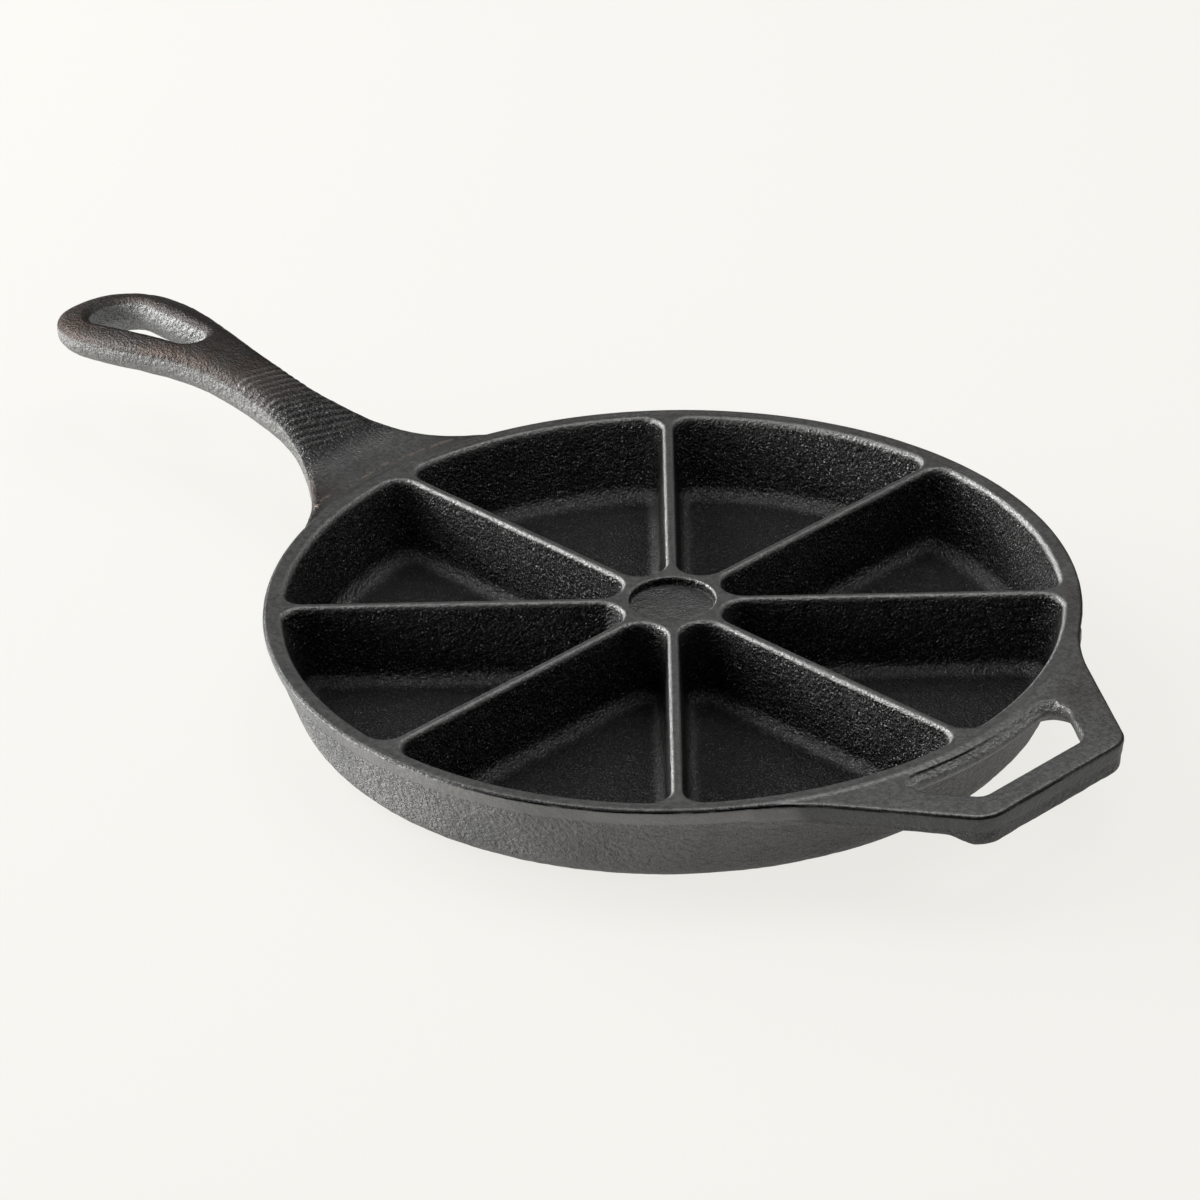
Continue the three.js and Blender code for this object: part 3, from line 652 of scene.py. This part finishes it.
def masks(points, normals):
    """What the finish follows at each point, from 0 to 1: ground, worn and stained places, and
    places painted lighter as painted light and darker as painted shade.

    Only drop is a length: how far the point lies below the top, in millimetres.
    """
    x, y, z = points.T
    up = normals[:, 2]
    r = np.hypot(x, y)
    reach = -x
    turn = np.degrees(np.arctan2(y, x))
    radial = (x * normals[:, 0] + y * normals[:, 1]) / np.maximum(r, 1)
    on_grip = ease(RIM + 8, RIM + 26, reach)
    # Ground tops, crests worn and painted lighter as highlights, floors painted darker as shade, and
    # floor fillets painted lighter as highlights
    flat = ease(0.86, 0.96, up)
    top = ease(HEIGHT - 1.1, HEIGHT - 0.5, z) * flat * (1 - on_grip)
    recess = ease(RECESS + 0.3, RECESS - 0.3, r) * flat
    edge = (ease(HEIGHT - 2.4, HEIGHT - 1.3, z) * ease(0.1, 0.35, up) * ease(0.99, 0.93, up)
            * ease(RIM - 1.6, RIM - 2.6, r))
    pan_floor = ease(FLOOR + 2.4, FLOOR + 0.2, z) * ease(0.8, 1.0, up) * (z > 1)
    fillet = ease(FLOOR + FILLET, FLOOR + FILLET * 0.6, z) * ease(0.15, 0.6, up) * (z > 1)
    # The round pocket tips beside the hub are painted lighter too, as a painted highlight
    tip = (ease(HUB + 13, HUB + 7, r) * ease(RECESS + 1, RECESS + 2, r)
           * ease(HEIGHT - 22, HEIGHT - 10, z))
    fillet = np.maximum(fillet, tip * ease(0.3, 0.6, radial) * ease(0.6, 0.3, up))
    # Smooth band under the rim's edge and the flat outer faces of the helper handle. The outer faces
    # of the wall and the handles are painted lighter, as painted light
    outward = np.maximum(ease(0.05, 0.3, radial), r > RIM + 0.5)
    outside = ease(RIM - 14, RIM - 11, r + (HEIGHT - z) * math.tan(WALL_DRAFT)) * outward
    band = outside * in_rim_band(z) * (1 - on_grip)
    # Outer edge of the rim and the helper handle, and where its painted shadow line shows in the
    # crevice under the edge
    helper = ease(RIM + 1, RIM + 3, r) * (x > 0)
    bar = np.maximum(ease(RIM + 1, RIM + 6, reach), helper)
    drop = mix(HEIGHT, HANDLE_TOP, helper) - z
    near_edge = ease(RIM - 2.6, RIM - 2.0, r) * (1 - on_grip)
    beside_hole = beside_finger_hole(x, y)
    line = near_edge * mix(ease(-84, -66, turn) * ease(12, -4, turn),
                           0.75 * ease(30, -6, y) * ease(3.5, 5.5, beside_hole), helper)
    # Inner faces of the finger hole and the hanging hole, which are painted lighter as painted light
    along = reach - (HANDLE_TIP - HOLE_FROM_TIP - HOLE_LENGTH)
    hang = (ease(-4, -1, along) * ease(HOLE_LENGTH + 4, HOLE_LENGTH + 1, along)
            * ease(HOLE_WIDE + 4, HOLE_WIDE + 2, abs(y)))
    start = RIM + FINGER_START
    finger = ease(3.0, 2.2, beside_hole) * ease(start + 9, start + 5, r)
    bore = np.maximum(hang * ease(0.75, 0.5, up), finger * ease(0.95, 0.85, up))
    outer = np.maximum(outside * ease(0.5, 0.2, up), bore)
    # Scuffed arc across the root of the long handle, a little outside the rim
    off = (r - RIM - 3.5 - 1.4 * noise(points, 9.0, 21)) / 0.7
    scuff = np.exp(-off * off) * ease(100, 112, reach) * ease(0.7, 0.9, up)
    # Brown stains of thin seasoning
    cloud = noise(points, 16.0, 11) + 0.6 * noise(points, 6.0, 12)
    grip = ease(RIM + 40, RIM + 62, reach) * ease(0.1, 0.4, up) * (1 - bore)
    root = (ease(RIM - 6, RIM + 4, reach) * (1 - ease(RIM + 18, RIM + 30, reach))
            * ease(-14, -26, y))
    back = (ease(RIM - 7, RIM - 5, r) * ease(HEIGHT - 4, HEIGHT - 2, z)
            * ease(28, 46, turn) * ease(176, 166, turn))
    flare = ease(RIM - 1, RIM + 4, r) * ease(8, 20, turn) * ease(40, 30, turn)
    stain = np.maximum.reduce([grip, 0.7 * root, 0.6 * back, 0.8 * flare])
    return {"ground": np.maximum(top, 0.75 * recess), "edge": edge, "fillet": fillet,
            "pan_floor": pan_floor, "band": band, "drop": drop, "line": line, "helper": helper,
            "brown": np.clip(stain * ease(-0.7, 0.7, cloud), 0, 1), "grip": grip, "outer": outer,
            "bar": bar, "bore": bore, "scuff": scuff, "marks": np.maximum(-grinding(points), 0)}


def iron_object(name, points, triangles, field, first, material):
    """Object with the field's own smooth normals, its masks and the material."""
    normals = gradient(field, first, points)
    mesh = mesh_from(name, points, triangles)
    corner = points[triangles]
    face = np.cross(corner[:, 1] - corner[:, 0], corner[:, 2] - corner[:, 0])
    face /= np.maximum(np.linalg.norm(face, axis=1, keepdims=True), 1e-9)
    inside = sample(field, first, corner.mean(1)) < -0.15
    seam = inside & (np.einsum("ij,ij->i", face, normals[triangles].mean(1)) < 0.6)
    shading = np.where(seam[:, None, None], face[:, None, :], normals[triangles])
    free = mesh.attributes.new("custom_normal", "FLOAT_VECTOR", "CORNER")
    free.data.foreach_set("vector", shading.astype(np.float32).ravel())
    # The hidden seam faces meet the outer surface in sharp edges
    edges = np.empty(len(mesh.loops), np.int32)
    mesh.loops.foreach_get("edge_index", edges)
    on_seam = np.bincount(edges[np.repeat(seam, 3)], minlength=len(mesh.edges))
    sharp = mesh.attributes.new("sharp_edge", "BOOLEAN", "EDGE")
    sharp.data.foreach_set("value", on_seam == 1)
    for key, values in masks(points, normals).items():
        attribute = mesh.attributes.new(key, "FLOAT", "POINT")
        attribute.data.foreach_set("value", values.astype(np.float32))
    mesh.polygons.foreach_set("use_smooth", np.ones(len(triangles), bool))
    mesh.materials.append(material)
    obj = bpy.data.objects.new(name, mesh)
    bpy.context.scene.collection.objects.link(obj)
    return obj


class Nodes:
    """Short way to write a material's node tree."""

    def __init__(self, tree):
        tree.nodes.clear()
        self.tree = tree

    def add(self, kind, inputs=None, **settings):
        node = self.tree.nodes.new(kind)
        for key, value in settings.items():
            setattr(node, key, value)
        for key, value in (inputs or {}).items():
            if isinstance(value, bpy.types.NodeSocket):
                self.tree.links.new(value, node.inputs[key])
            else:
                node.inputs[key].default_value = value
        return node

    def math(self, operation, a, b=0.0, c=0.0, clamp=False):
        settings = {"operation": operation, "use_clamp": clamp}
        return self.add("ShaderNodeMath", {0: a, 1: b, 2: c}, **settings).outputs[0]

    def times(self, a, b):
        return self.math("MULTIPLY", a, b)

    def times_add(self, a, b, c, clamp=False):
        return self.math("MULTIPLY_ADD", a, b, c, clamp)

    def mask(self, name):
        return self.add("ShaderNodeAttribute", attribute_name=name).outputs["Fac"]

    def noise(self, vector, scale, detail=2.0, roughness=0.5):
        inputs = {"Vector": vector, "Scale": scale, "Detail": detail, "Roughness": roughness}
        return self.add("ShaderNodeTexNoise", inputs).outputs["Fac"]

    def range(self, value, low, high, to_low=0.0, to_high=1.0):
        inputs = {0: value, 1: low, 2: high, 3: to_low, 4: to_high}
        node = self.add("ShaderNodeMapRange", inputs, interpolation_type="SMOOTHSTEP")
        return node.outputs[0]

    def blend(self, factor, a, b):
        return self.add("ShaderNodeMix", {0: factor, 6: a, 7: b}, data_type="RGBA").outputs[2]


# Colours of the iron, some of them painted light and painted shade
IRON_DARK = (0.024, 0.024, 0.024, 1)
IRON_LIGHT = (0.042, 0.0415, 0.041, 1)
GROUND_TOP = (0.110, 0.110, 0.108, 1)
# Painted highlight on the floor fillets and pocket tips
FILLET_HIGHLIGHT = (0.115, 0.115, 0.113, 1)
# Painted light: lighter colours for the outer faces of the wall, the long handle's bar and the
# helper handle
OUTER_LIT_DARK = (0.135, 0.135, 0.132, 1)
OUTER_LIT_LIGHT = (0.19, 0.188, 0.183, 1)
BAR_LIT_DARK = (0.12, 0.12, 0.116, 1)
BAR_LIT_LIGHT = (0.17, 0.168, 0.163, 1)
HELPER_LIT_FACE = (0.080, 0.080, 0.079, 1)
# Painted light on the inner walls of the holes
BORE_LIT_FACE = (0.17, 0.17, 0.166, 1)
# Black of the seasoning, also used as painted shade on the pocket floors
BLACK_SEASONING_AND_SHADE = (0.020, 0.020, 0.020, 1)
GRIP_TOP = (0.044, 0.041, 0.039, 1)
BROWN_STAIN = (0.046, 0.033, 0.027, 1)
# Worn edges, lighter also as a painted highlight on the crests
WORN_EDGE_AND_HIGHLIGHT = (0.135, 0.135, 0.132, 1)
GRINDING_MARK = (0.12, 0.118, 0.115, 1)
BARE_SCUFF = (0.20, 0.165, 0.140, 1)
PIT = (0.008, 0.008, 0.008, 1)
# Bright specks painted as glints on the grain
GLINT_SPECK = (0.34, 0.34, 0.335, 1)
# Painted shadow of the crevice along the outer edge
EDGE_SHADOW_LINE = (0.003, 0.003, 0.003, 1)
SHINE, GRIP_SHINE = (0.4, 0.4, 0.4, 1), (0.3, 0.3, 0.3, 1)


def iron_material():
    material = bpy.data.materials.new("seasoned_iron")
    material.use_nodes = True
    n = Nodes(material.node_tree)
    place = n.add("ShaderNodeTexCoord").outputs["Object"]
    ground, edge, band = n.mask("ground"), n.mask("edge"), n.mask("band")
    pan_floor, fillet, brown = n.mask("pan_floor"), n.mask("fillet"), n.mask("brown")
    outer, grip, bar, bore = n.mask("outer"), n.mask("grip"), n.mask("bar"), n.mask("bore")
    # Share of the sand grain: full on cast walls, less on floors and handles, least on ground faces
    cast = n.math("SUBTRACT", 1.0, ground, clamp=True)
    calm = n.times_add(fillet, 0.42, n.times(band, 0.85), clamp=True)
    calm = n.math("MAXIMUM", calm, n.times_add(grip, 0.3, n.times(bar, 0.35)))
    calm = n.math("MAXIMUM", calm, n.times(edge, 0.7))
    share = n.times(cast, n.math("SUBTRACT", 1.0, calm))
    # Colour: dark iron with cloudy seasoning and brown stains, worn edges that are also painted
    # highlights, painted highlights on fillets and pocket tips, painted shade on the floors, and
    # outer faces and hole walls painted lighter as painted light
    cloud = n.range(n.noise(place, 28, 4.0, 0.6), 0.35, 0.68)
    colour = n.blend(cloud, IRON_DARK, IRON_LIGHT)
    colour = n.blend(ground, colour, GROUND_TOP)
    # Floor fillets and pocket tips painted lighter: a painted highlight
    colour = n.blend(n.times(fillet, 0.7), colour, FILLET_HIGHLIGHT)
    # Outer faces of the wall and handles painted lighter: painted light from the key lamp and the
    # pale floor
    painted_lit_outside = n.blend(cloud, OUTER_LIT_DARK, OUTER_LIT_LIGHT)
    painted_lit_outside = n.blend(bar, painted_lit_outside, n.blend(cloud, BAR_LIT_DARK, BAR_LIT_LIGHT))
    painted_lit_outside = n.blend(n.mask("helper"), painted_lit_outside, HELPER_LIT_FACE)
    # Walls of the finger hole and hanging hole painted lighter: painted light
    painted_lit_outside = n.blend(bore, painted_lit_outside, BORE_LIT_FACE)
    colour = n.blend(outer, colour, painted_lit_outside)
    # Pocket floors painted darker: painted shade at the bottom of the deep pockets
    colour = n.blend(n.times(pan_floor, 0.92), colour, BLACK_SEASONING_AND_SHADE)
    colour = n.blend(n.times(grip, 0.93), colour, GRIP_TOP)
    colour = n.blend(n.times(brown, 0.5), colour, BROWN_STAIN)
    # Crests worn lighter, and painted lighter as a highlight
    colour = n.blend(n.times(edge, 0.9), colour, WORN_EDGE_AND_HIGHLIGHT)
    colour = n.blend(n.mask("marks"), colour, GRINDING_MARK)
    satin = n.range(n.noise(place, 700, 4.0, 0.75), 0.36, 0.64, 0.5, 0.0)
    colour = n.blend(n.times(satin, ground), colour, BLACK_SEASONING_AND_SHADE)
    scuff = n.times(n.mask("scuff"), n.range(n.noise(place, 380, 3.0, 0.6), 0.46, 0.6))
    colour = n.blend(n.times(scuff, 0.8), colour, BARE_SCUFF)
    # Pits of the grain and bright specks painted as glints on it, fewer on the outer wall and the
    # grip
    fine = n.noise(place, 1900, 2.0, 0.6)
    flecks = n.times(share, n.times_add(n.math("MAXIMUM", outer, grip), -0.75, 1.0))
    pit = n.times(n.range(fine, 0.56, 0.44), n.times_add(flecks, 0.7, 0.1))
    colour = n.blend(pit, colour, PIT)
    glint = n.times(n.range(fine, 0.59, 0.70), n.times_add(flecks, 0.65, 0.06))
    colour = n.blend(glint, colour, GLINT_SPECK)
    # Painted shadow line in the crevice along the outer edge, broken up along its length
    wander = n.times_add(n.noise(place, 160, 2.0), 0.4, 0.36)
    off = n.math("ABSOLUTE", n.math("SUBTRACT", n.mask("drop"), wander))
    line = n.times(n.range(off, 0.34, 0.16), n.mask("line"))
    line = n.times(line, n.range(n.noise(place, 75, 3.0, 0.6), 0.36, 0.5))
    colour = n.blend(line, colour, EDGE_SHADOW_LINE)
    # Height of the grain: fine sand over coarser lumps, coarser on the outer wall
    grain = n.noise(place, 1200, 2.0, 0.6)
    lumps = n.noise(place, 560, 2.0, 0.5)
    height = n.times(lumps, n.times_add(outer, 0.7, 0.55))
    height = n.times_add(grain, n.times_add(outer, -0.4, 1.0), height)
    strength = n.times_add(share, 0.86, n.times_add(bore, 0.4, 0.12), clamp=True)
    bump = n.add("ShaderNodeBump", {"Strength": strength, "Distance": 0.0017, "Height": height})
    # Satin where it was ground, rougher with the grain, on floors and outside
    rough = n.times_add(cloud, 0.05, 0.32)
    for mask, more in ((share, 0.14), (edge, 0.04), (pan_floor, 0.10), (outer, 0.10), (line, 0.4)):
        rough = n.times_add(mask, more, rough)
    metal = n.times_add(outer, -0.65, 0.96)
    tint = n.blend(grip, SHINE, GRIP_SHINE)
    shader = n.add("ShaderNodeBsdfPrincipled", {
        "Base Color": colour, "Metallic": metal, "Roughness": rough, "Specular Tint": tint,
        "Normal": bump.outputs[0]})
    n.add("ShaderNodeOutputMaterial", {"Surface": shader.outputs[0]})
    return material


# Stage: a plain pale floor and soft studio light, key light low from the left

PALE = (0.876, 0.867, 0.830, 1)
FLOOR_PAINT = (0.80, 0.795, 0.775, 1)
FLOOR_SIDE = 6000
FLOOR_DROP = 0.0004


def floor_material():
    material = bpy.data.materials.new("pale_floor")
    material.use_nodes = True
    n = Nodes(material.node_tree)
    matt = n.add("ShaderNodeBsdfDiffuse", {"Color": FLOOR_PAINT})
    glow = n.add("ShaderNodeEmission", {"Color": PALE, "Strength": 1.0})
    path = n.add("ShaderNodeLightPath").outputs
    seen = n.math("ADD", path["Is Camera Ray"], path["Is Transmission Ray"], clamp=True)
    share = n.times_add(path["Is Glossy Ray"], 0.95, n.times(seen, 0.92), clamp=True)
    both = n.add("ShaderNodeMixShader", {0: share, 1: matt.outputs[0], 2: glow.outputs[0]})
    n.add("ShaderNodeOutputMaterial", {"Surface": both.outputs[0]})
    return material


def add_floor():
    corners = np.array([(-1, -1, 0), (1, -1, 0), (1, 1, 0), (-1, 1, 0)]) * FLOOR_SIDE
    mesh = mesh_from("floor", corners, np.array([(0, 1, 2, 3)]))
    mesh.materials.append(floor_material())
    floor = bpy.data.objects.new("floor", mesh)
    floor.location.z = -FLOOR_DROP
    bpy.context.scene.collection.objects.link(floor)


def add_world():
    """Pale room behind the object, dim overhead and on the near side."""
    world = bpy.data.worlds.new("studio")
    world.use_nodes = True
    n = Nodes(world.node_tree)
    ray = n.add("ShaderNodeTexCoord").outputs["Generated"]
    height = n.add("ShaderNodeSeparateXYZ", {0: ray}).outputs["Z"]
    behind = n.add("ShaderNodeVectorMath", {0: ray, 1: (-0.7, 0.7, 0)}, operation="DOT_PRODUCT")
    level = n.math("ADD", n.times(n.range(height, 0.42, 0.80), -0.92), 1.0)
    level = n.times(level, n.range(behind.outputs["Value"], -0.5, 0.35, 0.06, 1.0))
    seen = n.add("ShaderNodeLightPath").outputs["Is Camera Ray"]
    room = n.add("ShaderNodeBackground", {"Color": (1, 1, 1, 1), "Strength": level})
    pale = n.add("ShaderNodeBackground", {"Color": PALE, "Strength": 1.0})
    both = n.add("ShaderNodeMixShader", {0: seen, 1: room.outputs[0], 2: pale.outputs[0]})
    n.add("ShaderNodeOutputWorld", {"Surface": both.outputs[0]})
    bpy.context.scene.world = world


def add_lamp(name, place, target, size, power):
    data = bpy.data.lights.new(name, "AREA")
    data.shape = "RECTANGLE"
    data.size, data.size_y = size
    data.energy = power
    lamp = bpy.data.objects.new(name, data)
    lamp.location = place
    lamp.rotation_euler = (Vector(place) - Vector(target)).to_track_quat("Z", "Y").to_euler()
    bpy.context.scene.collection.objects.link(lamp)


# Camera fitted to the photograph: angles, distance in metres, and pixels of a square picture
CAMERA_TURN, CAMERA_TILT = math.radians(44.772), math.radians(29.335)
CAMERA_ROLL = math.radians(-1.011)
CAMERA_DISTANCE = 1.8425
PICTURE = 1200
FOCAL = 5877.0
RIM_MIDDLE = (672.1, 598.3)
SENSOR = 36


def add_camera():
    """Camera at the photograph's angle, aimed so that the rim's middle falls where it does there."""
    turn, tilt, roll = CAMERA_TURN, CAMERA_TILT, CAMERA_ROLL
    level = math.cos(tilt)
    back = Vector((math.sin(turn) * level, -math.cos(turn) * level, math.sin(tilt)))
    right = Vector((math.cos(turn), math.sin(turn), 0))
    up = back.cross(right)
    place = Vector((0, 0, HEIGHT / 1000)) + back * CAMERA_DISTANCE
    right, up = (right * math.cos(roll) + up * math.sin(roll),
                 up * math.cos(roll) - right * math.sin(roll))
    across, down = RIM_MIDDLE[0] - PICTURE / 2, RIM_MIDDLE[1] - PICTURE / 2
    back = (back + right * (across / FOCAL) - up * (down / FOCAL)).normalized()
    right = (right - back * right.dot(back)).normalized()
    up = back.cross(right)
    data = bpy.data.cameras.new("camera")
    data.sensor_width = SENSOR
    data.lens = FOCAL / PICTURE * SENSOR
    camera = bpy.data.objects.new("camera", data)
    camera.matrix_world = Matrix((right, up, back)).transposed().to_4x4()
    camera.location = place
    bpy.context.scene.collection.objects.link(camera)
    bpy.context.scene.camera = camera


field, first = casting()
add_relief(field, first)
iron = iron_material()
for node, (points, triangles) in pieces(field, first).items():
    piece = iron_object(f"iron_{node}", points, triangles, field, first, iron)
    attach(piece, "root")
    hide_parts(node)
add_floor()
add_world()
add_lamp("key", (-1.45, -0.55, 0.37), (-0.05, 0, 0.02), (2.6, 0.68), 102)
add_lamp("left", (-0.92, -0.53, 1.05), (0, 0, 0.02), (1.2, 0.8), 15)
add_lamp("top", (-0.05, 0.4, 1.3), (0, 0, 0.02), (1.1, 1.1), 13)
add_camera()
bpy.context.scene.view_settings.view_transform = "Standard"
